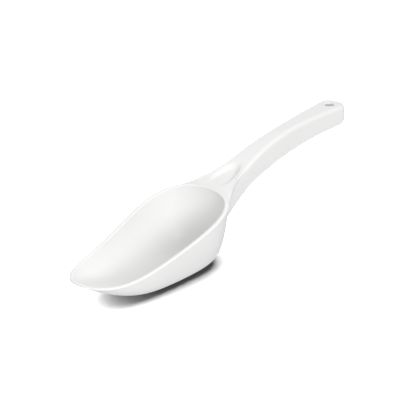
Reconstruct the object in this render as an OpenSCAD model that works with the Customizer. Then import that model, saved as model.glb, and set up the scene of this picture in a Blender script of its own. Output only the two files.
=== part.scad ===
// Moulded ice scoop with a deep spoon bowl and an arched channel handle.
// +X runs from the bowl's tip to the handle's end, +Z is up, and the bowl's belly rests on z = 0.

/* [Overall] */
// Length from the tip of the bowl to the end of the handle
overall_length = 280; // [270:1:290]

/* [Bowl] */
// Length of the bowl over its rim
bowl_length = 134; // [128:1:140]
// Greatest width of the bowl over its rim
bowl_width = 65; // [58:1:72]
// How far the widest place moves back from the middle of the bowl
rim_rear_bias = 0.10; // [0.05:0.01:0.14]
// How blunt the two ends of the rim are
rim_bluntness = 0.11; // [0.06:0.01:0.14]
// Height of the rim at the tip
rim_tip_z = 19.5; // [17:0.5:22]
// Height of the rim half way along the bowl
rim_mid_z = 28; // [26:0.5:31]
// Height of the rim at the rear
rim_rear_z = 47; // [44:0.5:50]
// Extra curl of the rim's side view
rim_curl = 0.9; // [0:0.1:1.5]
// Thickness of the bowl's wall
bowl_wall = 2.8; // [2.2:0.1:3]
// Distance from the tip to the centre of the belly
belly_from_tip = 114; // [110:1:115]
// Fullness of the belly towards the tip
belly_tip = 1.4; // [1.3:0.05:2.2]
// Fullness of the belly towards the sides
belly_side = 3.8; // [3.4:0.1:4.6]
// Fullness of the belly towards the rear
belly_rear = 2.6; // [2.4:0.1:4.4]
// How much fuller the belly is before its middle than behind it
belly_skew = 1.3; // [0:0.1:2.4]
// Share of the belly that is flat, to rest on
rest_share = 0.3; // [0.2:0.01:0.36]

/* [Rim lip] */
// How far the lip stands proud of the wall on each side
lip_bead = 0.2; // [0:0.05:0.4]
// Height of the lip's rounded top
lip_round = 1.2; // [0.8:0.1:1.4]

/* [Neck] */
// Distance from the bowl's rear rim to where the neck becomes the grip
neck_length = 36; // [33:1:40]
// Drop of the neck's top face below the rim, where they meet
neck_step = 0.4; // [0.3:0.1:0.8]
// Height above the floor where the neck's side walls leave the bowl
neck_foot_z = 23; // [20:0.5:25]

/* [Thumb recess] */
// Depth of the thumb recess
recess_depth = 2.5; // [1.5:0.1:2.8]
// Half length of the oval recess
recess_half_l = 19.5; // [16:0.5:20]
// Half width of the recess
recess_half_w = 8.4; // [6:0.2:9]
// Distance from the bowl's rear rim to the middle of the recess
recess_from_rim = 13.5; // [11:0.5:14]
// Distance from the rim over which the recess reaches its full depth
recess_run = 26; // [16:1:28]

/* [Handle] */
// Height of the handle's top face: Bezier control heights, neck to end
handle_top = [50.5, 68, 66.8, 66.8]; // [48:0.5:70]
// Half width of the handle's top face: first three Bezier control widths, from the neck on
handle_half_w = [11.1, 4.5, 6.8]; // [4:0.1:11.5]
// Half width of the handle's top face at its end
end_half_w = 10.9; // [10.4:0.1:11.5]
// Depth of the handle's side walls: Bezier control depths, neck to end
handle_depth = [13.5, 21.5, 13.2, 13.6]; // [12.5:0.1:22]
// Thickness of the handle's side walls and end wall
handle_wall = 1.6; // [1.6:0.1:2.2]
// Thickness of the handle's top plate
plate_t = 2; // [2:0.1:2.6]
// Radius of the handle's long top edges
edge_r = 2.8; // [1.5:0.1:3]
// Outward draft of the side walls over their depth
wall_draft = 0.6; // [0.4:0.1:0.9]
// Length of the handle's end, from the grip on
cap_length = 24; // [20:1:28]
// Thickness of the handle's end wall
end_wall = 3.5; // [3.5:0.5:4.5]
// Corner radius of the handle's end, seen from above
end_r = 7.5; // [5:0.5:8]
// Radius of the handle end's lower edge, seen from the side
end_lower_r = 11.5; // [8:0.5:11.5]

/* [Hang hole] */
// Diameter of the hang hole
hole_d = 7; // [5:0.5:8]
// Distance of the hole's centre from the end of the handle
hole_from_end = 9.5; // [9:0.5:11]

/* [Hidden] */

plastic = [0.95, 0.95, 0.94];
turns = 96;               // steps around the bowl
rings = 15;               // steps from the belly's centre to the lip
lip_share = 0.985;        // where the lip takes over from the wall, as a share of the way out
wall_lean = 0.985;        // below 1, so that the wall is drafted and never quite upright
ring_crowding = 1.7;      // above 1, so that the rings crowd towards the steep wall
tip_x = lip_bead - overall_length / 2;   // so that the lip itself reaches the full length
end_x = overall_length / 2;
belly_x = tip_x + belly_from_tip;
rear_x = tip_x + bowl_length;

// ---- Bowl: rim curve and belly -------------------------------------------

function rim_width_shape(a) = sin(a) - rim_rear_bias * sin(2 * a) + rim_bluntness * sin(3 * a);
rim_peak = max([for (a = [60:1:150]) rim_width_shape(a)]);
half_w = bowl_width / 2 / rim_peak;

rim_mean = ((rim_tip_z + rim_rear_z) / 2 + rim_mid_z) / 2;
rim_rise = (rim_rear_z - rim_tip_z) / 2 + rim_curl;
rim_sag = ((rim_tip_z + rim_rear_z) / 2 - rim_mid_z) / 2;

// Angle a is 0 at the tip, 90 on the +Y side and 180 at the rear
function rim_z(a) = rim_mean - rim_rise * cos(a) + rim_sag * cos(2 * a) + rim_curl * cos(3 * a);
function rim_xy(a) = [tip_x + bowl_length / 2 * (1 - cos(a)), half_w * rim_width_shape(a)];
function rim_run(a) =
    let (d = [bowl_length / 2 * sin(a),
              half_w * (cos(a) - 2 * rim_rear_bias * cos(2 * a) + 3 * rim_bluntness * cos(3 * a))])
    d / norm(d);
function rim_out(a) = [-rim_run(a)[1], rim_run(a)[0]];

function fullness(a) =
    (belly_side + belly_skew * cos(a)) * sin(a) ^ 2
    + cos(a) ^ 2 * ((belly_tip + belly_rear) / 2 + (belly_tip - belly_rear) / 2 * cos(a));
function belly_drop(p) = 1 - sqrt(1 - wall_lean ^ p);
function belly_rise(a, share) =
    let (p = fullness(a), r = max(0, (share - rest_share) / (1 - rest_share)))
    (1 - sqrt(1 - (wall_lean * r) ^ p)) / belly_drop(p);
function belly_share(a, z) =
    let (p = fullness(a), f = z / rim_z(a) * belly_drop(p))
    rest_share + (1 - rest_share) * (1 - (1 - f) ^ 2) ^ (1 / p) / wall_lean;

// Point of the bowl's outer (inset 0) or inner (inset = wall) face, share 0 at the belly, 1 at the rim
function bowl_point(a, share, inset) =
    let (rim = rim_xy(a) - inset * rim_out(a),
         xy = [belly_x, 0] + share * (rim - [belly_x, 0]))
    [xy[0], xy[1], inset + (rim_z(a) - inset) * belly_rise(a, share)];
function bowl_at_height(a, z) = bowl_point(a, belly_share(a, z), 0);

// ---- Solids from rings of points -----------------------------------------

// Two triangles between steps i, i+1 of ring p and ring q
function quad(p, q, i, j) = [[p + i, q + j, p + j], [p + i, q + i, q + j]];

// Closed rings of m points each, one after another in a list; the last ring joins the first
module ring_solid(loops) {
    n = len(loops);
    m = len(loops[0]);
    points = [for (loop = loops) each loop];
    faces = [for (k = [0:n - 1], i = [0:m - 1])
        each quad(k * m, ((k + 1) % n) * m, i, (i + 1) % m)];
    polyhedron(points = points, faces = faces, convexity = 8);
}

// Channel stations of m outer and m inner points, lofted in turn and closed at both ends
module channel_solid(stations) {
    n = len(stations);
    m = len(stations[0]) / 2;
    loops = [for (s = stations)
        concat([for (i = [0:m - 1]) s[i]], [for (i = [m - 1:-1:0]) s[m + i]])];
    points = [for (loop = loops) each loop];
    skin = [for (k = [0:n - 2], i = [0:2 * m - 1])
        each quad(k * 2 * m, (k + 1) * 2 * m, i, (i + 1) % (2 * m))];
    last = (n - 1) * 2 * m;
    front = [for (i = [0:m - 2])
        each [[i, i + 1, 2 * m - 1 - i], [i + 1, 2 * m - 2 - i, 2 * m - 1 - i]]];
    back = [for (i = [0:m - 2])
        each [[last + i, last + 2 * m - 1 - i, last + i + 1],
              [last + i + 1, last + 2 * m - 1 - i, last + 2 * m - 2 - i]]];
    polyhedron(points = points, faces = concat(skin, front, back), convexity = 8);
}

module bowl_shell() {
    angles = [for (i = [0:turns - 1]) i * 360 / turns];
    shares = [for (k = [1:rings]) lip_share * (1 - (1 - k / rings) ^ ring_crowding)];
    outer = [for (s = shares, a = angles) bowl_point(a, s, 0)];
    inner = [for (s = shares, a = angles) bowl_point(a, s, bowl_wall)];
    centres = [[belly_x, 0, 0], [belly_x, 0, bowl_wall]];
    top = rings * turns;
    last = (rings - 1) * turns;
    wrap = function(i) (i + 1) % turns;
    outer_faces = [for (k = [0:rings - 2], i = [0:turns - 1])
        each quad((k + 1) * turns, k * turns, i, wrap(i))];
    inner_faces = [for (k = [0:rings - 2], i = [0:turns - 1])
        each quad(top + k * turns, top + (k + 1) * turns, i, wrap(i))];
    edge_faces = [for (i = [0:turns - 1]) each quad(top + last, last, i, wrap(i))];
    hub_faces = [for (i = [0:turns - 1])
        each [[2 * top, i, wrap(i)], [2 * top + 1, top + wrap(i), top + i]]];
    color(plastic)
        polyhedron(points = concat(outer, inner, centres),
                   faces = concat(outer_faces, inner_faces, edge_faces, hub_faces), convexity = 8);
}

// Lip profile at angle a: up the outer side, over the rounded top and down the inner side
function lip_loop(a) =
    let (mid = rim_xy(a) - bowl_wall / 2 * rim_out(a), reach = bowl_wall / 2 + lip_bead)
    concat(
        [bowl_point(a, lip_share, 0)],
        [for (b = [0:30:180])
            let (xy = mid + reach * cos(b) * rim_out(a))
            [xy[0], xy[1], rim_z(a) - lip_round * (1 - sin(b))]],
        [bowl_point(a, lip_share, bowl_wall)]);

module rim_lip() {
    color(plastic) ring_solid([for (i = [0:turns - 1]) lip_loop(i * 360 / turns)]);
}

// ---- Handle: sections across the length -----------------------------------

function bezier(p, u) =
    (1 - u) ^ 3 * p[0] + 3 * u * (1 - u) ^ 2 * p[1] + 3 * u ^ 2 * (1 - u) * p[2] + u ^ 3 * p[3];
function bezier_run(p, u) =
    3 * ((1 - u) ^ 2 * (p[1] - p[0]) + 2 * u * (1 - u) * (p[2] - p[1]) + u ^ 2 * (p[3] - p[2]));

join_x = rear_x + neck_length;  // neck to grip
cap_x = end_x - cap_length;     // grip to handle end
curve_lead = 14.5;              // how far before the grip the handle's curves start
handle_x0 = join_x - curve_lead;
handle_span = end_x - handle_x0;
inner_foot_share = 0.9;         // width of the inner row where the section is solid
arch_share = 0.2;               // height of its arch, as a share of the handle's depth

half_widths = concat(handle_half_w, [end_half_w]);

function along(x) = (x - handle_x0) / handle_span;
function top_z(x) = bezier(handle_top, along(x));
function plain_half_w(x) = bezier(half_widths, along(x));
function plain_depth(x) = bezier(handle_depth, along(x));

// What a corner of radius r takes away at distance d from the end
function corner_loss(r, d) = d >= r ? 0 : r - sqrt(r ^ 2 - (r - max(d, 0)) ^ 2);
function half_w_at(x) = plain_half_w(x) - corner_loss(end_r, end_x - x);
function depth_at(x) = plain_depth(x) - corner_loss(end_lower_r, end_x - x);
function edge_at(x) = min(edge_r, 0.7 * depth_at(x));

edge_steps = 3;                 // steps around a rounded edge
side_steps = 3;                 // steps down a side wall

// Half section, from the foot of the side wall up and over to the middle of the top face:
// w half width, d depth, r edge radius, lean the draft, top_count the steps along the top;
// each point is [y, height under the top]
function half_section(w, d, r, lean, top_count) = concat(
    [for (k = [side_steps:-1:1])
        let (v = k / side_steps)
        [w + lean * v, -r - (d - r) * v]],
    [for (k = [0:edge_steps])
        let (b = 90 * k / edge_steps)
        [w - r + r * cos(b), -r + r * sin(b)]],
    [for (k = [1:top_count]) [(w - r) * (1 - k / top_count), 0]]);

// Full row of points, +Y side first, from a list of half points
function mirrored(half) =
    concat(half, [for (i = [len(half) - 2:-1:0]) [half[i][0], -half[i][1], half[i][2]]]);
function placed(x, z, half) = [for (p = half) [x, p[0], z + p[1]]];

function outer_half(x, top_count = 1) =
    placed(x, top_z(x),
           half_section(half_w_at(x), depth_at(x), edge_at(x), wall_draft, top_count));
// The hollow: the same section less the walls, with its foot level with the outer foot
function hollow_half(x, top_count = 1) =
    placed(x, top_z(x) - plate_t,
           half_section(half_w_at(x) - handle_wall, depth_at(x) - plate_t, edge_r / 2, wall_draft,
                        top_count));
// Where the section is solid, the inner row is a shallow arch from foot to foot
function solid_half(x) =
    let (foot = outer_half(x)[0], n = len(outer_half(x)) - 1)
    [for (k = [0:n])
        let (share = inner_foot_share * (1 - k / n))
        [x, foot[1] * share, foot[2] + arch_share * depth_at(x) * (1 - share ^ 2)]];

function channel_at(x, solid) =
    concat(mirrored(outer_half(x)), mirrored(solid ? solid_half(x) : hollow_half(x)));

grip_steps = 24;
module handle_grip() {
    color(plastic)
        channel_solid([for (k = [0:grip_steps])
            channel_at(join_x + (cap_x - join_x) * k / grip_steps, false)]);
}

hollow_steps = 4;               // steps along the hollow part of the handle's end, up to the hole
solid_steps = 6;                // steps through its end wall, crowded towards the rounded end
hole_x = end_x - hole_from_end;
flat_start = hole_x - hole_d / 2 - 1;   // the top is flat around the hole

module handle_end() {
    hollow_end = end_x - end_wall;
    solid_start = hollow_end + end_wall / 3;
    hollow_xs = [for (k = [0:hollow_steps]) cap_x + (flat_start - cap_x) * k / hollow_steps];
    solid_xs = [for (k = [0:solid_steps])
        solid_start + (end_x - solid_start) * sin(90 * k / solid_steps)];
    color(plastic)
        difference() {
            channel_solid(concat([for (x = hollow_xs) channel_at(x, false)],
                                 [channel_at(hollow_end, false)],
                                 [for (x = solid_xs) channel_at(x, true)]));
            translate([hole_x, 0, top_z(end_x) - 2 * plate_t])
                cylinder(h = 4 * plate_t, d = hole_d, $fn = 64);
        }
}

// ---- Neck: a trumpet from the bowl's rear wall to the start of the grip ------

top_steps = 9;       // steps from a ridge to the middle of the top
neck_edge_a = 180 - top_steps * 360 / turns;   // rim angle where the ridge leaves the rim
gusset_a = 13;       // how much nearer the middle the side walls stand than the ridges, in degrees
gusset_drop = 3;     // how far below the rim they do so
foot_a = 2;          // how much nearer the middle still their feet stand
hollow_tuck = 2.4;   // how much nearer the middle the hollow stands than the walls
neck_steps = 20;
ridge_lead = 11;     // pull of the ridges and the top as they leave the bowl
side_lead = 4.5;     // pull of the side walls as they leave the bowl
foot_lift = 0.35;    // how steeply their feet leave it
neck_tail = 12;      // pull of the whole section as it reaches the grip
recess_floor = 0.62; // share of the recess's half width that its floor takes

function smooth(v) =
    let (c = min(1, max(0, v)))
    c * c * (3 - 2 * c);

// Footprint on the bowl: the row that half_section makes, laid on the bowl's outer wall,
// dropped and tucked in for the hollow
function foot_half(drop, tuck) =
    let (z_top = rim_z(neck_edge_a) - neck_step - drop, z_side = z_top - gusset_drop)
    concat(
        [for (k = [side_steps:-1:1])
            let (v = k / side_steps)
            bowl_at_height(neck_edge_a + gusset_a + tuck + foot_a * v ^ 2,
                           z_side + (neck_foot_z - z_side) * v)],
        [for (k = [0:edge_steps])
            let (v = 1 - k / edge_steps)
            bowl_at_height(neck_edge_a + (gusset_a + tuck) * v, z_top - gusset_drop * v ^ 2)],
        [for (k = [1:top_steps])
            let (a = neck_edge_a + (180 - neck_edge_a) * k / top_steps)
            bowl_at_height(a, rim_z(a) - neck_step - drop)]);

// Pull of line i of the half section as it leaves the bowl: along the rim at the ridge, straight
// back in the middle of the top and down the side walls, and a little upwards at the foot
function foot_pull(i) =
    let (low = max(0, 1 - i / side_steps),
         mid = max(0, (i - side_steps - edge_steps) / top_steps),
         back = max(smooth(2 * mid), smooth(low)),
         run = rim_run(neck_edge_a))
    [run[0] + (1 - run[0]) * back, run[1] * (1 - back), foot_lift * low ^ 2]
    * (i <= side_steps ? side_lead : ridge_lead);

// Depth of the thumb recess under the plain top face: an oval dish that deepens away from the rim
function recess(x, y) =
    let (past = x - rear_x,
         across = norm([(past - recess_from_rim) / recess_half_l, y / recess_half_w]),
         side = 1 - smooth((across - recess_floor) / (1 - recess_floor)))
    recess_depth * side * smooth(past / recess_run);

// Half section a share s of the way from the footprint to the start of the grip
function neck_half(s, foot, tail) =
    let (slope = bezier_run(handle_top, along(join_x)) / handle_span,
         taper = bezier_run(half_widths, along(join_x)) / handle_span,
         deepen = bezier_run(handle_depth, along(join_x)) / handle_span)
    [for (i = [0:len(foot) - 1])
        let (low = (top_z(join_x) - tail[i][2]) / depth_at(join_x),
             run = [1, taper * tail[i][1] / half_w_at(join_x), slope - deepen * low],
             p = bezier([foot[i], foot[i] + foot_pull(i), tail[i] - neck_tail * run, tail[i]], s))
        p - [0, 0, i < side_steps ? 0 : recess(p[0], p[1])]];

module thumb_neck() {
    outer_foot = foot_half(0, 0);
    hollow_foot = foot_half(plate_t, hollow_tuck);
    outer_tail = outer_half(join_x, top_steps);
    hollow_tail = hollow_half(join_x, top_steps);
    color(plastic)
        channel_solid([for (k = [0:neck_steps])
            let (s = k / neck_steps)
            concat(mirrored(neck_half(s, outer_foot, outer_tail)),
                   mirrored(neck_half(s, hollow_foot, hollow_tail)))]);
}

bowl_shell();
rim_lip();
thumb_neck();
handle_grip();
handle_end();
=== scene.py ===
"""A white plastic ice scoop on a pale floor.

The scoop is one moulding. Its five regions are five closed meshes that meet face to face, with
shading normals worked out across their joints, so that they look like the single piece they are.
"""
import math

import bpy
import numpy as np
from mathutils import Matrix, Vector


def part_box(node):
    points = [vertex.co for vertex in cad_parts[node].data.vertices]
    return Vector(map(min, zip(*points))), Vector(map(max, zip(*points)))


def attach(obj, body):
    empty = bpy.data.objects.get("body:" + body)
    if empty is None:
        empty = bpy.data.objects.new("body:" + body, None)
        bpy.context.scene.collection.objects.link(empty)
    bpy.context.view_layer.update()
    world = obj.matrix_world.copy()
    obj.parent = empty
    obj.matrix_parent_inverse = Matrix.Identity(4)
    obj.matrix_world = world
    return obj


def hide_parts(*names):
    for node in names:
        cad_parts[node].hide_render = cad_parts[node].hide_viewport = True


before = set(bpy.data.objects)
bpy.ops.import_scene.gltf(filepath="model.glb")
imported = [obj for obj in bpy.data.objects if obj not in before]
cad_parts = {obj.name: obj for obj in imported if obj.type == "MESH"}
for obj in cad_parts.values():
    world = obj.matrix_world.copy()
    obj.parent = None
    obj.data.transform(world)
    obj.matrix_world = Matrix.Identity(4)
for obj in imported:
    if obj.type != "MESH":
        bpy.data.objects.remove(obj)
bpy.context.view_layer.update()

MM = 0.001

# ---- Sizes, in millimetres ---------------------------------------------------


def box_mm(node):
    lo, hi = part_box(node)
    return lo / MM, hi / MM


rim_lo, rim_hi = box_mm("rim_lip")
grip_lo = box_mm("handle_grip")[0]
end_lo, end_hi = box_mm("handle_end")

LIP_BEAD = 0.2          # how far the lip stands proud of the wall
LIP_ROUND = 1.2         # height of the lip's rounded top
WALL = 2.8              # thickness of the bowl's wall
TIP_X = rim_lo.x + LIP_BEAD
REAR_X = rim_hi.x - LIP_BEAD
BOWL_LENGTH = REAR_X - TIP_X
HALF_WIDTH = rim_hi.y - LIP_BEAD
RIM_REAR_Z = rim_hi.z
RIM_TIP_Z = 19.5        # height of the rim at the tip
RIM_MID_Z = 28.0        # and half way along
RIM_CURL = 0.9          # how unevenly it climbs between them
REAR_BIAS = 0.10        # how far the widest place moves back
BLUNTNESS = 0.11        # how blunt the rim's two ends are
BELLY_X = TIP_X + 114   # middle of the belly
BELLY_TIP, BELLY_SIDE, BELLY_REAR = 1.4, 3.8, 2.6   # fullness of the belly each way
BELLY_SKEW = 1.3        # how much fuller it is before its middle than behind
REST_SHARE = 0.3        # share of the belly that is flat
LIP_SHARE = 0.985       # where the lip takes over from the wall
WALL_LEAN = 0.985       # below 1, so that the wall is drafted

JOIN_X = grip_lo.x      # neck to grip
CAP_X = end_lo.x        # grip to handle end
END_X = end_hi.x
CURVE_X = JOIN_X - 14.5 # where the handle's curves start
# Control values of the handle's curves, neck to end
HANDLE_TOP = (50.5, 68, 66.8, 66.8)         # height of its top face
HANDLE_HALF_W = (11.1, 4.5, 6.8, 10.9)      # half width of its top face
HANDLE_DEPTH = (13.5, 21.5, 13.2, 13.6)     # depth of its side walls
HANDLE_WALL = 1.6       # thickness of its side walls
PLATE = 2.0             # thickness of the handle's top plate
EDGE_R = 2.8            # radius of the handle's long top edges
FOOT_R = 0.7            # radius of the side walls' lower edges
DRAFT = 0.6             # outward lean of the side walls over their depth
END_R = 7.5             # corner radius of the handle's end, from above
END_LOWER_R = 11.5      # radius of its lower edge, from the side
END_TOP_R = 1.0         # radius of its upper edge
END_WALL = 3.5          # thickness of its end wall
HOLE_R = 3.5
HOLE_X = END_X - 9.5
HOLE_EDGE_R = 0.45      # rounding of the hole's edges
HOLE_RELIEF = 0.6       # chamfer of the hole's lower edge
ARCH_SHARE = 0.2        # height of the end wall's arched underside, as a share of the depth
FOOT_SHARE = 0.92       # width of that arch, as a share of the feet's

TURNS = 288             # steps around the bowl
RINGS = 44              # steps from the belly's centre to the lip
RING_CROWDING = 1.9     # above 1, so that the rings crowd towards the steep wall
GRIP_STEPS, NECK_STEPS, END_STEPS = 72, 84, 21   # steps along the handle's three pieces
FOOT_STEPS, SIDE_STEPS, EDGE_STEPS, TOP_STEPS = 3, 10, 8, 36   # steps along a half section

# ---- The bowl's curves -------------------------------------------------------


def stack(*parts):
    return np.stack(np.broadcast_arrays(*parts), axis=-1)


def unit(v):
    return v / np.linalg.norm(v, axis=-1, keepdims=True)


def rim_width_shape(a):
    return np.sin(a) - REAR_BIAS * np.sin(2 * a) + BLUNTNESS * np.sin(3 * a)


WIDTH_SCALE = HALF_WIDTH / rim_width_shape(np.radians(np.arange(60, 151))).max()
RIM_MEAN = ((RIM_TIP_Z + RIM_REAR_Z) / 2 + RIM_MID_Z) / 2
RIM_RISE = (RIM_REAR_Z - RIM_TIP_Z) / 2 + RIM_CURL
RIM_SAG = ((RIM_TIP_Z + RIM_REAR_Z) / 2 - RIM_MID_Z) / 2


def rim_z(a):
    """Height of the rim; a is 0 at the tip, pi/2 on the +Y side and pi at the rear."""
    return RIM_MEAN - RIM_RISE * np.cos(a) + RIM_SAG * np.cos(2 * a) + RIM_CURL * np.cos(3 * a)


def rim_xy(a):
    return stack(TIP_X + BOWL_LENGTH / 2 * (1 - np.cos(a)), WIDTH_SCALE * rim_width_shape(a))


def rim_run(a):
    across = np.cos(a) - 2 * REAR_BIAS * np.cos(2 * a) + 3 * BLUNTNESS * np.cos(3 * a)
    return unit(stack(BOWL_LENGTH / 2 * np.sin(a), WIDTH_SCALE * across))


def rim_out(a):
    run = rim_run(a)
    return stack(-run[..., 1], run[..., 0])


def fullness(a):
    ends = (BELLY_TIP + BELLY_REAR) / 2 + (BELLY_TIP - BELLY_REAR) / 2 * np.cos(a)
    return (BELLY_SIDE + BELLY_SKEW * np.cos(a)) * np.sin(a) ** 2 + np.cos(a) ** 2 * ends


def belly_drop(p):
    return 1 - np.sqrt(1 - WALL_LEAN ** p)


def belly_share(a, z):
    """How far out the outer wall is at height z, from 0 at the belly to 1 at the rim."""
    p = fullness(a)
    f = z / rim_z(a) * belly_drop(p)
    return REST_SHARE + (1 - REST_SHARE) * (1 - (1 - f) ** 2) ** (1 / p) / WALL_LEAN


def bowl_point(a, share, inset):
    """Point of the bowl's outer (inset 0) or inner (inset = wall) face."""
    centre = np.array([BELLY_X, 0.0])
    rim = rim_xy(a) - inset * rim_out(a)
    share = np.asarray(share, float)
    xy = centre + share[..., None] * (rim - centre)
    p = fullness(a)
    r = np.maximum(0, (share - REST_SHARE) / (1 - REST_SHARE))
    rise = (1 - np.sqrt(1 - (WALL_LEAN * r) ** p)) / belly_drop(p)
    return stack(xy[..., 0], xy[..., 1], inset + (rim_z(a) - inset) * rise)


def bowl_at_height(a, z, inset=0.0):
    share = belly_share(a, (z - inset) * rim_z(a) / (rim_z(a) - inset))
    return bowl_point(a, share, inset)


def smooth(v):
    c = np.clip(v, 0, 1)
    return c * c * (3 - 2 * c)


# ---- Meshes ------------------------------------------------------------------


class Skin:
    """Points and four-cornered faces of one closed piece, gathered grid by grid.

    A triangle repeats its third corner. Hidden faces are those that lie against another piece.
    """

    def __init__(self, name):
        self.name = name
        self.points = np.zeros((0, 3))
        self.faces = np.zeros((0, 4), int)
        self.hidden = np.zeros(0, bool)

    def add(self, grid):
        """Adds a grid of points (rows, columns, 3) and returns their numbers as a grid."""
        grid = np.asarray(grid, float)
        first = len(self.points)
        self.points = np.concatenate([self.points, grid.reshape(-1, 3)])
        return np.arange(first, len(self.points)).reshape(grid.shape[:-1])

    def add_faces(self, faces, hidden=False):
        self.faces = np.concatenate([self.faces, faces])
        self.hidden = np.concatenate([self.hidden, np.full(len(faces), hidden)])

    def quads(self, ids, close_columns=False, hidden=False, flip=False):
        ids = np.asarray(ids)
        if close_columns:
            ids = np.concatenate([ids, ids[:, :1]], axis=1)
        corners = [ids[:-1, :-1], ids[:-1, 1:], ids[1:, 1:], ids[1:, :-1]]
        faces = np.stack(corners, axis=-1).reshape(-1, 4)
        self.add_faces(faces[:, ::-1] if flip else faces, hidden)

    def fan(self, hub, ring, flip=False):
        near, far = ring, np.roll(ring, -1)
        if flip:
            near, far = far, near
        self.add_faces(np.stack([np.full(len(ring), hub), near, far, far], axis=-1))


def make_bowl():
    """The bowl up to the lip, outside and inside, with hubs at the middle of the belly."""
    skin = Skin("bowl_shell")
    turns = np.radians(np.arange(TURNS) * 360 / TURNS)
    shares = LIP_SHARE * (1 - (1 - np.arange(1, RINGS + 1) / RINGS) ** RING_CROWDING)
    a, share = np.meshgrid(turns, shares)
    outer = skin.add(bowl_point(a, share, 0.0))
    inner = skin.add(bowl_point(a, share, WALL))
    hubs = skin.add([[BELLY_X, 0, 0], [BELLY_X, 0, WALL]])
    skin.quads(outer, close_columns=True, flip=True)
    skin.quads(inner, close_columns=True)
    skin.quads([outer[-1], inner[-1]], close_columns=True, hidden=True, flip=True)
    skin.fan(hubs[0], outer[0])
    skin.fan(hubs[1], inner[0], flip=True)
    return skin


def make_lip():
    """The lip: up the outer wall, round over the top and down the inner wall."""
    skin = Skin("rim_lip")
    wall_steps, round_steps = 7, 16
    shoulder = 0.9      # height of the plain wall left below the rounded top
    squareness = 0.85   # below 1, so that the top is a little squarer than a circle
    a = np.radians(np.arange(TURNS) * 360 / TURNS)
    middle = rim_xy(a) - WALL / 2 * rim_out(a)
    reach = WALL / 2 + LIP_BEAD
    rows = []
    low_out, low_in = bowl_point(a, LIP_SHARE, 0.0), bowl_point(a, LIP_SHARE, WALL)
    high = rim_z(a) - LIP_ROUND - shoulder
    for v in np.arange(wall_steps) / wall_steps:
        rows.append(bowl_at_height(a, low_out[:, 2] + (high - low_out[:, 2]) * v))
    rows[0] = low_out
    for b in np.radians(np.linspace(0, 180, round_steps + 1)):
        across = np.sign(math.cos(b)) * abs(math.cos(b)) ** squareness
        up = abs(math.sin(b)) ** squareness
        xy = middle + reach * across * rim_out(a)
        rows.append(stack(xy[:, 0], xy[:, 1], rim_z(a) - LIP_ROUND * (1 - up)))
    for v in np.arange(wall_steps)[::-1] / wall_steps:
        rows.append(bowl_at_height(a, low_in[:, 2] + (high - low_in[:, 2]) * v, WALL))
    rows[-1] = low_in
    ids = skin.add(np.stack(rows))
    skin.quads(ids, close_columns=True, flip=True)
    skin.quads([ids[-1], ids[0]], close_columns=True, hidden=True, flip=True)
    return skin


# ---- The handle's sections ---------------------------------------------------


def bezier(p, u):
    return (1 - u) ** 3 * p[0] + 3 * u * (1 - u) ** 2 * p[1] + 3 * u * u * (1 - u) * p[2] + u ** 3 * p[3]


def bezier_run(p, u):
    return 3 * ((1 - u) ** 2 * (p[1] - p[0]) + 2 * u * (1 - u) * (p[2] - p[1]) + u * u * (p[3] - p[2]))


def along(x):
    return (x - CURVE_X) / (END_X - CURVE_X)


def corner_loss(r, d):
    """What a corner of radius r takes away at distance d from the end."""
    d = max(d, 0)
    return 0.0 if d >= r else r - math.sqrt(r * r - (r - d) ** 2)


def top_z(x):
    return bezier(HANDLE_TOP, along(x)) - corner_loss(END_TOP_R, END_X - x)


def half_w_at(x):
    return bezier(HANDLE_HALF_W, along(x)) - corner_loss(END_R, END_X - x)


def depth_at(x):
    plain = bezier(HANDLE_DEPTH, along(x))
    return plain - corner_loss(END_LOWER_R, END_X - x) - corner_loss(END_TOP_R, END_X - x)


def half_section(w, depth, edge_r, foot_r, foot_side):
    """Half section as [y, height under the top], from the foot up to the middle of the top.

    foot_side is 1 where the foot turns inwards (the outer face), -1 for the hollow's face.
    """
    foot_y = w + DRAFT
    points = []
    for b in np.radians(np.linspace(-90, 0, FOOT_STEPS + 1)):
        y = foot_y - foot_side * foot_r * (1 - math.cos(b))
        points.append([y, -depth + foot_r * (1 + math.sin(b))])
    for v in np.arange(1, SIDE_STEPS) / SIDE_STEPS:
        points.append([foot_y - DRAFT * v, -depth + foot_r + (depth - foot_r - edge_r) * v])
    for b in np.radians(np.linspace(0, 90, EDGE_STEPS + 1)):
        points.append([w - edge_r + edge_r * math.cos(b), -edge_r + edge_r * math.sin(b)])
    for v in np.arange(1, TOP_STEPS + 1) / TOP_STEPS:
        points.append([(w - edge_r) * (1 - v), 0.0])
    return np.array(points)


def placed(x, z, half):
    return stack(x, half[:, 0], z + half[:, 1])


def outer_half(x):
    edge_r = min(EDGE_R, 0.7 * depth_at(x))
    foot_r = min(FOOT_R, 0.2 * depth_at(x))
    return placed(x, top_z(x), half_section(half_w_at(x), depth_at(x), edge_r, foot_r, 1))


def hollow_half(x):
    w, depth = half_w_at(x) - HANDLE_WALL, depth_at(x) - PLATE
    return placed(x, top_z(x) - PLATE, half_section(w, depth, EDGE_R / 2, FOOT_R, -1))


def solid_half(x):
    """Where the section is solid, its inner row is a shallow arch from foot to foot."""
    foot = outer_half(x)[0]
    n = FOOT_STEPS + SIDE_STEPS + EDGE_STEPS + TOP_STEPS
    share = FOOT_SHARE * (1 - np.arange(n + 1) / n)
    return stack(x, foot[1] * share, foot[2] + ARCH_SHARE * depth_at(x) * (1 - share ** 2))


def mirrored(half):
    return np.concatenate([half, half[-2::-1] * [1, -1, 1]])


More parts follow.
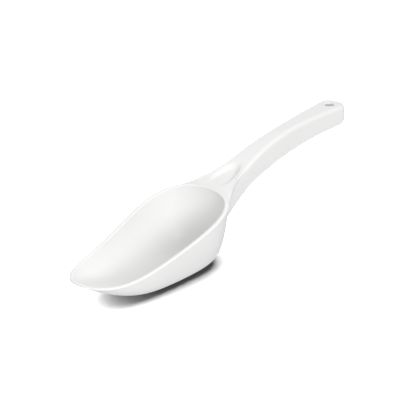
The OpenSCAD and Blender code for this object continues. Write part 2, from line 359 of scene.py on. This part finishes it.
def channel(skin, outers, inners, hidden_end=True):
    """Lofts outer and inner rows into a closed channel; returns both grids of point numbers."""
    outer = skin.add(np.stack([mirrored(h) for h in outers]))
    inner = skin.add(np.stack([mirrored(h) for h in inners]))
    skin.quads(outer)
    skin.quads(inner, flip=True)
    for side in (0, -1):
        skin.quads([outer[:, side], inner[:, side]], flip=side == -1)
    skin.quads([outer[0], inner[0]], hidden=True, flip=True)
    skin.quads([outer[-1], inner[-1]], hidden=hidden_end)
    return outer, inner


def make_grip():
    skin = Skin("handle_grip")
    xs = np.linspace(JOIN_X, CAP_X, GRIP_STEPS + 1)
    channel(skin, [outer_half(x) for x in xs], [hollow_half(x) for x in xs])
    return skin


def make_end():
    """The handle's end: a channel closed by its end wall, with the hang hole in its top."""
    skin = Skin("handle_end")
    window_half = HOLE_R + 2.1      # half length of the window that the hole's rings fill
    before, beside = 6, 16          # steps before the window and along it
    hollow_end = END_X - END_WALL
    hollow_xs = np.concatenate([
        np.linspace(CAP_X, HOLE_X - window_half, before, endpoint=False),
        np.linspace(HOLE_X - window_half, HOLE_X + window_half, beside + 1),
    ])
    hollow_xs = hollow_xs[hollow_xs < hollow_end]
    solid_start = hollow_end + END_WALL / 5
    solid_xs = solid_start + (END_X - solid_start) * np.sin(np.linspace(0, math.pi / 2, END_STEPS + 1))
    outers = [outer_half(x) for x in hollow_xs] + [outer_half(x) for x in solid_xs]
    inners = [hollow_half(x) for x in hollow_xs] + [solid_half(x) for x in solid_xs]
    outer, inner = channel(skin, outers, inners, hidden_end=False)
    pierce(skin, outer, inner, before, before + beside)
    return skin


def pierce(skin, outer, inner, first, last):
    """Replaces a window of the top and of the hollow's ceiling by rings around the hang hole."""
    middle = (len(outer[0]) - 1) // 2
    reach = 28              # columns of the window on each side of the middle
    columns = range(middle - reach, middle + reach + 1)
    window = [grid[first:last + 1, columns[0]:columns[-1] + 1].ravel() for grid in (outer, inner)]
    keep = ~np.isin(skin.faces, np.concatenate(window)).all(axis=1)
    skin.faces, skin.hidden = skin.faces[keep], skin.hidden[keep]
    mouth_r = HOLE_R + HOLE_EDGE_R
    plain = [(mouth_r, 0)]
    relieved = [(mouth_r + HOLE_RELIEF, 0), (mouth_r, HOLE_RELIEF)]
    mouths = []
    for grid, side, profile in ((outer, 1, plain), (inner, -1, relieved)):
        loop = [grid[r][columns[0]] for r in range(first, last)]
        loop += [grid[last][c] for c in columns[:-1]]
        loop += [grid[r][columns[-1]] for r in range(last, first, -1)]
        loop += [grid[first][c] for c in list(columns)[:0:-1]]
        edge = skin.points[loop]
        turn = np.arctan2(edge[:, 1], edge[:, 0] - HOLE_X)
        face_z = edge[:, 2].mean()

        def circle(r, z):
            return stack(HOLE_X + r * np.cos(turn), r * np.sin(turn), face_z + z)

        ring = [np.array(loop)]
        for v in (0.25, 0.5, 0.75):
            ring.append(skin.add(edge + (circle(*profile[0]) - edge) * v))
        for r, z in profile:
            ring.append(skin.add(circle(r, z)))
        for b in np.radians((30, 60, 90)):
            r = HOLE_R + HOLE_EDGE_R * (1 - math.sin(b))
            ring.append(skin.add(circle(r, z - side * HOLE_EDGE_R * (1 - math.cos(b)))))
        skin.quads(ring, close_columns=True, flip=side == 1)
        mouths.append(ring[-1])
    skin.quads(mouths, close_columns=True, flip=True)


# ---- The neck ----------------------------------------------------------------

NECK_STEP = 0.4          # drop of the neck's top below the rim
NECK_FOOT_Z = 23.0       # where the side walls leave the bowl
NECK_EDGE = math.radians(146.25)   # rim angle where the ridge leaves the rim
GUSSET = math.radians(13)           # how much nearer the middle the side walls stand
GUSSET_DROP = 3.0        # how much lower than the ridge they start
FOOT_TURN = math.radians(2)         # how much further in their feet stand
HOLLOW_TUCK = math.radians(2.4)     # how much further in the hollow's walls stand
# How far the ridge and the side walls run straight out from the bowl, how much the feet rise there,
# and how far all of them run straight into the grip
RIDGE_LEAD, SIDE_LEAD, FOOT_LIFT, NECK_TAIL = 11.0, 4.5, 0.35, 12.0
# The thumb recess: its size, its middle and its run-in from the rim, and the share of it that is floor
RECESS_DEPTH, RECESS_HALF_L, RECESS_HALF_W = 2.5, 19.5, 8.4
RECESS_FROM_RIM, RECESS_RUN, RECESS_FLOOR = 13.5, 26.0, 0.62
LOW_STEPS = FOOT_STEPS + SIDE_STEPS     # steps from the foot to the ridge's rounded edge


def foot_half(drop, tuck):
    """Footprint of the neck on the bowl's outer wall, in the order of a half section."""
    z_top = rim_z(NECK_EDGE) - NECK_STEP - drop
    z_side = z_top - GUSSET_DROP
    v = np.arange(LOW_STEPS, 0, -1) / LOW_STEPS
    side_a = NECK_EDGE + GUSSET + tuck + FOOT_TURN * v ** 2
    side = bowl_at_height(side_a, z_side + (NECK_FOOT_Z - z_side) * v)
    v = 1 - np.arange(EDGE_STEPS + 1) / EDGE_STEPS
    edge = bowl_at_height(NECK_EDGE + (GUSSET + tuck) * v, z_top - GUSSET_DROP * v ** 2)
    a = NECK_EDGE + (math.pi - NECK_EDGE) * np.arange(1, TOP_STEPS + 1) / TOP_STEPS
    top = bowl_at_height(a, rim_z(a) - NECK_STEP - drop)
    return np.concatenate([side, edge, top])


def foot_pull():
    """Pull of each line of the half section as it leaves the bowl."""
    i = np.arange(LOW_STEPS + EDGE_STEPS + TOP_STEPS + 1)
    low = np.maximum(0, 1 - i / LOW_STEPS)
    mid = np.maximum(0, (i - LOW_STEPS - EDGE_STEPS) / TOP_STEPS)
    back = np.maximum(smooth(2 * mid), smooth(low))
    run = rim_run(np.float64(NECK_EDGE))
    pull = stack(run[0] + (1 - run[0]) * back, run[1] * (1 - back), FOOT_LIFT * low ** 2)
    lead = SIDE_LEAD + (RIDGE_LEAD - SIDE_LEAD) * smooth((i - LOW_STEPS + 1) / 3)
    return pull * lead[:, None]


def recess(x, y):
    """Depth of the thumb recess under the neck's plain top: an oval dish, deeper away from the rim."""
    past = x - REAR_X
    across = np.hypot((past - RECESS_FROM_RIM) / RECESS_HALF_L, y / RECESS_HALF_W)
    side = 1 - smooth((across - RECESS_FLOOR) / (1 - RECESS_FLOOR))
    return RECESS_DEPTH * side * smooth(past / RECESS_RUN)


def neck_half(s, foot, tail):
    slope = bezier_run(HANDLE_TOP, along(JOIN_X)) / (END_X - CURVE_X)
    taper = bezier_run(HANDLE_HALF_W, along(JOIN_X)) / (END_X - CURVE_X)
    deepen = bezier_run(HANDLE_DEPTH, along(JOIN_X)) / (END_X - CURVE_X)
    low = (top_z(JOIN_X) - tail[:, 2]) / depth_at(JOIN_X)
    back = NECK_TAIL * stack(1.0, taper * tail[:, 1] / half_w_at(JOIN_X), slope - deepen * low)
    p = bezier([foot, foot + foot_pull(), tail - back, tail], s)
    on_top = np.arange(len(p)) >= LOW_STEPS
    p[:, 2] -= np.where(on_top, recess(p[:, 0], p[:, 1]), 0)
    return p


def make_neck():
    skin = Skin("thumb_neck")
    shares = np.linspace(0, 1, NECK_STEPS + 1)
    outer_foot, hollow_foot = foot_half(0.0, 0.0), foot_half(PLATE, HOLLOW_TUCK)
    outer_tail, hollow_tail = outer_half(JOIN_X), hollow_half(JOIN_X)
    channel(
        skin,
        [neck_half(s, outer_foot, outer_tail) for s in shares],
        [neck_half(s, hollow_foot, hollow_tail) for s in shares],
    )
    return skin


# ---- From skins to objects ---------------------------------------------------

SMOOTH_ANGLE = math.radians(38)
MOST_NEIGHBOURS = 12     # more face corners than this never share a curved point


def corner_normals(skins):
    """Smooth normals for every face corner, shared across pieces where their points coincide.

    Faces that meet at more than the smoothing angle keep a sharp edge between them.
    """
    starts = np.cumsum([0] + [len(s.points) for s in skins[:-1]])
    points = np.concatenate([s.points for s in skins])
    faces = np.concatenate([s.faces + start for s, start in zip(skins, starts)])
    hidden = np.concatenate([s.hidden for s in skins])
    p = points[faces]
    three = faces[:, 3] == faces[:, 2]
    face_normals = np.cross(p[:, 2] - p[:, 0], p[:, 3] - p[:, 1])
    face_normals /= np.maximum(np.linalg.norm(face_normals, axis=1, keepdims=True), 1e-12)
    after = np.stack([p[:, 1], p[:, 2], np.where(three[:, None], p[:, 0], p[:, 3]), p[:, 0]], axis=1)
    before = np.stack([np.where(three[:, None], p[:, 2], p[:, 3]), p[:, 0], p[:, 1], p[:, 2]], axis=1)
    one, two = after - p, before - p
    scale = np.maximum(np.linalg.norm(one, axis=2) * np.linalg.norm(two, axis=2), 1e-12)
    weight = np.arccos(np.clip((one * two).sum(axis=2) / scale, -1, 1))
    weight[hidden] = 0
    weight[three, 3] = 0
    _, spot = np.unique(np.round(points, 4), axis=0, return_inverse=True)
    spot = spot.reshape(-1)[faces].reshape(-1)
    order = np.argsort(spot, kind="stable")
    spot, weight = spot[order], weight.reshape(-1)[order]
    normal = np.repeat(face_normals, 4, axis=0)[order]
    total = normal * np.maximum(weight, 1e-9)[:, None]
    limit = math.cos(SMOOTH_ANGLE)
    for step in range(1, MOST_NEIGHBOURS):
        near = (spot[step:] == spot[:-step]) & ((normal[step:] * normal[:-step]).sum(axis=1) > limit)
        total[step:] += (near * weight[:-step])[:, None] * normal[:-step]
        total[:-step] += (near * weight[step:])[:, None] * normal[step:]
    result = np.zeros_like(total)
    result[order] = unit(total)
    return result.reshape(-1, 4, 3)


def make_object(skin, normals, material):
    used, corners = np.unique(skin.faces, return_inverse=True)
    corners = corners.reshape(-1, 4)
    three = skin.faces[:, 3] == skin.faces[:, 2]
    count = np.where(three, 3, 4)
    mesh = bpy.data.meshes.new(skin.name)
    mesh.from_pydata((skin.points[used] * MM).tolist(), [],
                     [row[:n].tolist() for row, n in zip(corners, count)])
    mesh.polygons.foreach_set("use_smooth", [True] * len(mesh.polygons))
    mesh.normals_split_custom_set([n for row, k in zip(normals.tolist(), count) for n in row[:k]])
    mesh.materials.append(material)
    obj = bpy.data.objects.new("scoop_" + skin.name, mesh)
    bpy.context.scene.collection.objects.link(obj)
    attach(obj, "root")
    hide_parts(skin.name)
    return obj


# ---- Material ----------------------------------------------------------------


def add_node(tree, kind, **values):
    node = tree.nodes.new(kind)
    for name, value in values.items():
        if name in node.inputs:
            node.inputs[name].default_value = value
        else:
            setattr(node, name, value)
    return node


def white_plastic():
    """Glossy moulded plastic: faint flow marks, slightly uneven gloss and fine texture."""
    material = bpy.data.materials.new("white_plastic_visual")
    material.use_nodes = True
    tree = material.node_tree
    link = tree.links.new
    shader = tree.nodes["Principled BSDF"]
    shader.inputs["IOR"].default_value = 1.5
    shader.inputs["Specular IOR Level"].default_value = 0.35
    shader.inputs["Coat Weight"].default_value = 0.1
    shader.inputs["Coat Roughness"].default_value = 0.12
    place = add_node(tree, "ShaderNodeTexCoord")

    tint_noise = add_node(tree, "ShaderNodeTexNoise", Scale=18.0, Detail=3.0)
    tint = add_node(tree, "ShaderNodeValToRGB")
    tint.color_ramp.elements[0].color = (0.73, 0.73, 0.725, 1)
    tint.color_ramp.elements[0].position = 0.3
    tint.color_ramp.elements[1].color = (0.76, 0.76, 0.755, 1)
    tint.color_ramp.elements[1].position = 0.7
    link(place.outputs["Object"], tint_noise.inputs["Vector"])
    link(tint_noise.outputs["Fac"], tint.inputs["Fac"])
    link(tint.outputs["Color"], shader.inputs["Base Color"])

    gloss_noise = add_node(tree, "ShaderNodeTexNoise", Scale=55.0, Detail=5.0)
    gloss = add_node(tree, "ShaderNodeMapRange")
    gloss.inputs["To Min"].default_value = 0.4
    gloss.inputs["To Max"].default_value = 0.5
    link(place.outputs["Object"], gloss_noise.inputs["Vector"])
    link(gloss_noise.outputs["Fac"], gloss.inputs["Value"])
    link(gloss.outputs["Result"], shader.inputs["Roughness"])

    flow = add_node(tree, "ShaderNodeTexNoise", Scale=14.0, Detail=2.0)
    grain = add_node(tree, "ShaderNodeTexNoise", Scale=900.0, Detail=2.0)
    flow_bump = add_node(tree, "ShaderNodeBump", Strength=0.05, Distance=0.0012)
    grain_bump = add_node(tree, "ShaderNodeBump", Strength=0.05, Distance=0.00006)
    link(place.outputs["Object"], flow.inputs["Vector"])
    link(place.outputs["Object"], grain.inputs["Vector"])
    link(flow.outputs["Fac"], flow_bump.inputs["Height"])
    link(grain.outputs["Fac"], grain_bump.inputs["Height"])
    link(flow_bump.outputs["Normal"], grain_bump.inputs["Normal"])
    link(grain_bump.outputs["Normal"], shader.inputs["Normal"])
    return material


def floor_material():
    material = bpy.data.materials.new("pale_floor")
    material.use_nodes = True
    shader = material.node_tree.nodes["Principled BSDF"]
    shader.inputs["Base Color"].default_value = (0.08, 0.08, 0.08, 1)
    shader.inputs["Roughness"].default_value = 0.9
    shader.inputs["Specular IOR Level"].default_value = 0.0
    return material


# ---- Stage: floor, light and camera ------------------------------------------

# Surroundings: brightness at three heights, which run from 0 straight down to 1 straight up
BELOW_HEIGHT, BELOW_LEVEL = 0.05, 0.95
LOW_HEIGHT, LOW_LEVEL = 0.36, 0.34
SKY_HEIGHT, SKY_LEVEL = 0.66, 0.97


def grey(level):
    return (level, level, level, 1)


def towards(azimuth, elevation):
    """Unit vector from the scoop towards a place at these angles, in degrees, round and above it."""
    turn, height = math.radians(azimuth), math.radians(elevation)
    level = math.cos(height)
    return Vector((math.sin(turn) * level, -math.cos(turn) * level, math.sin(height)))


def make_floor():
    mesh = bpy.data.meshes.new("floor")
    half = 6.0
    corners = [(-half, -half, 0), (half, -half, 0), (half, half, 0), (-half, half, 0)]
    mesh.from_pydata(corners, [], [(0, 1, 2, 3)])
    mesh.materials.append(floor_material())
    floor = bpy.data.objects.new("floor", mesh)
    bpy.context.scene.collection.objects.link(floor)
    # The scoop is lit by the surroundings below it, and not by the floor's glare
    floor.visible_diffuse = False
    floor.visible_glossy = False
    floor.visible_shadow = False
    return floor


def add_softbox(name, place, aim, size, watts):
    light = bpy.data.lights.new(name, "AREA")
    light.shape = "DISK"
    light.size = size
    light.energy = watts
    obj = bpy.data.objects.new(name, light)
    obj.location = place
    obj.rotation_mode = "QUATERNION"
    obj.rotation_quaternion = (Vector(aim) - Vector(place)).to_track_quat("-Z", "Y")
    bpy.context.scene.collection.objects.link(obj)
    return obj


def only_lights(light, receivers, blockers):
    """The light reaches the receivers only, and only the blockers shade it."""
    lit = bpy.data.collections.new(light.name + "_lit")
    shading = bpy.data.collections.new(light.name + "_shading")
    for obj in receivers:
        lit.objects.link(obj)
    for obj in blockers:
        shading.objects.link(obj)
    light.light_linking.receiver_collection = lit
    light.light_linking.blocker_collection = shading


def make_world():
    """Even light from all round, dimmer just below the horizon and brighter again straight below."""
    world = bpy.data.worlds.new("studio")
    world.use_nodes = True
    tree = world.node_tree
    place = add_node(tree, "ShaderNodeTexCoord")
    split = add_node(tree, "ShaderNodeSeparateXYZ")
    height = add_node(tree, "ShaderNodeMapRange")
    height.inputs["From Min"].default_value = -1.0
    level = add_node(tree, "ShaderNodeValToRGB")
    level.color_ramp.interpolation = "EASE"
    first, last = level.color_ramp.elements
    first.position, first.color = BELOW_HEIGHT, grey(BELOW_LEVEL)
    last.position, last.color = SKY_HEIGHT, grey(SKY_LEVEL)
    low = level.color_ramp.elements.new(LOW_HEIGHT)
    low.color = grey(LOW_LEVEL)
    tree.links.new(place.outputs["Generated"], split.inputs["Vector"])
    tree.links.new(split.outputs["Z"], height.inputs["Value"])
    tree.links.new(height.outputs["Result"], level.inputs["Fac"])
    tree.links.new(level.outputs["Color"], tree.nodes["Background"].inputs["Color"])
    bpy.context.scene.world = world


def make_lights(floor, shading):
    """A low soft key from the tip's near side; the floor has a wash of its own, from behind."""
    make_world()
    distance, key_size, key_watts = 1.2, 0.5, 7.5
    aim = Vector((-0.03, 0, 0.03))
    key = add_softbox("key", aim + towards(-28, 21) * distance, aim, key_size, key_watts)
    only_lights(key, shading, shading)
    wash_place, wash_size, wash_watts = (-0.2, 0.68, 1.0), 4.0, 3500.0
    wash = add_softbox("floor_wash", wash_place, (0, 0, 0), wash_size, wash_watts)
    only_lights(wash, [floor], shading)


def make_camera():
    """The camera at the viewing angle of the picture, long lens, slightly off centre."""
    distance, aim = 1.8, Vector((0, 0, 0.025))
    back = towards(-51, 23)
    data = bpy.data.cameras.new("camera")
    data.sensor_width = 36
    data.lens = 234.6
    data.shift_x = -0.0378
    data.shift_y = 0.0318
    camera = bpy.data.objects.new("camera", data)
    camera.rotation_mode = "QUATERNION"
    camera.location = aim + back * distance
    camera.rotation_quaternion = (-back).to_track_quat("-Z", "Y")
    bpy.context.scene.collection.objects.link(camera)
    bpy.context.scene.camera = camera


# ---- Build -------------------------------------------------------------------


def build_scoop():
    skins = [make_bowl(), make_lip(), make_neck(), make_grip(), make_end()]
    material = white_plastic()
    normals = corner_normals(skins)
    start, pieces = 0, {}
    for skin in skins:
        pieces[skin.name] = make_object(skin, normals[start:start + len(skin.faces)], material)
        start += len(skin.faces)
    return pieces


make_camera()
pieces = build_scoop()
floor = make_floor()
make_lights(floor, list(pieces.values()))
bpy.context.scene.view_settings.view_transform = "Standard"
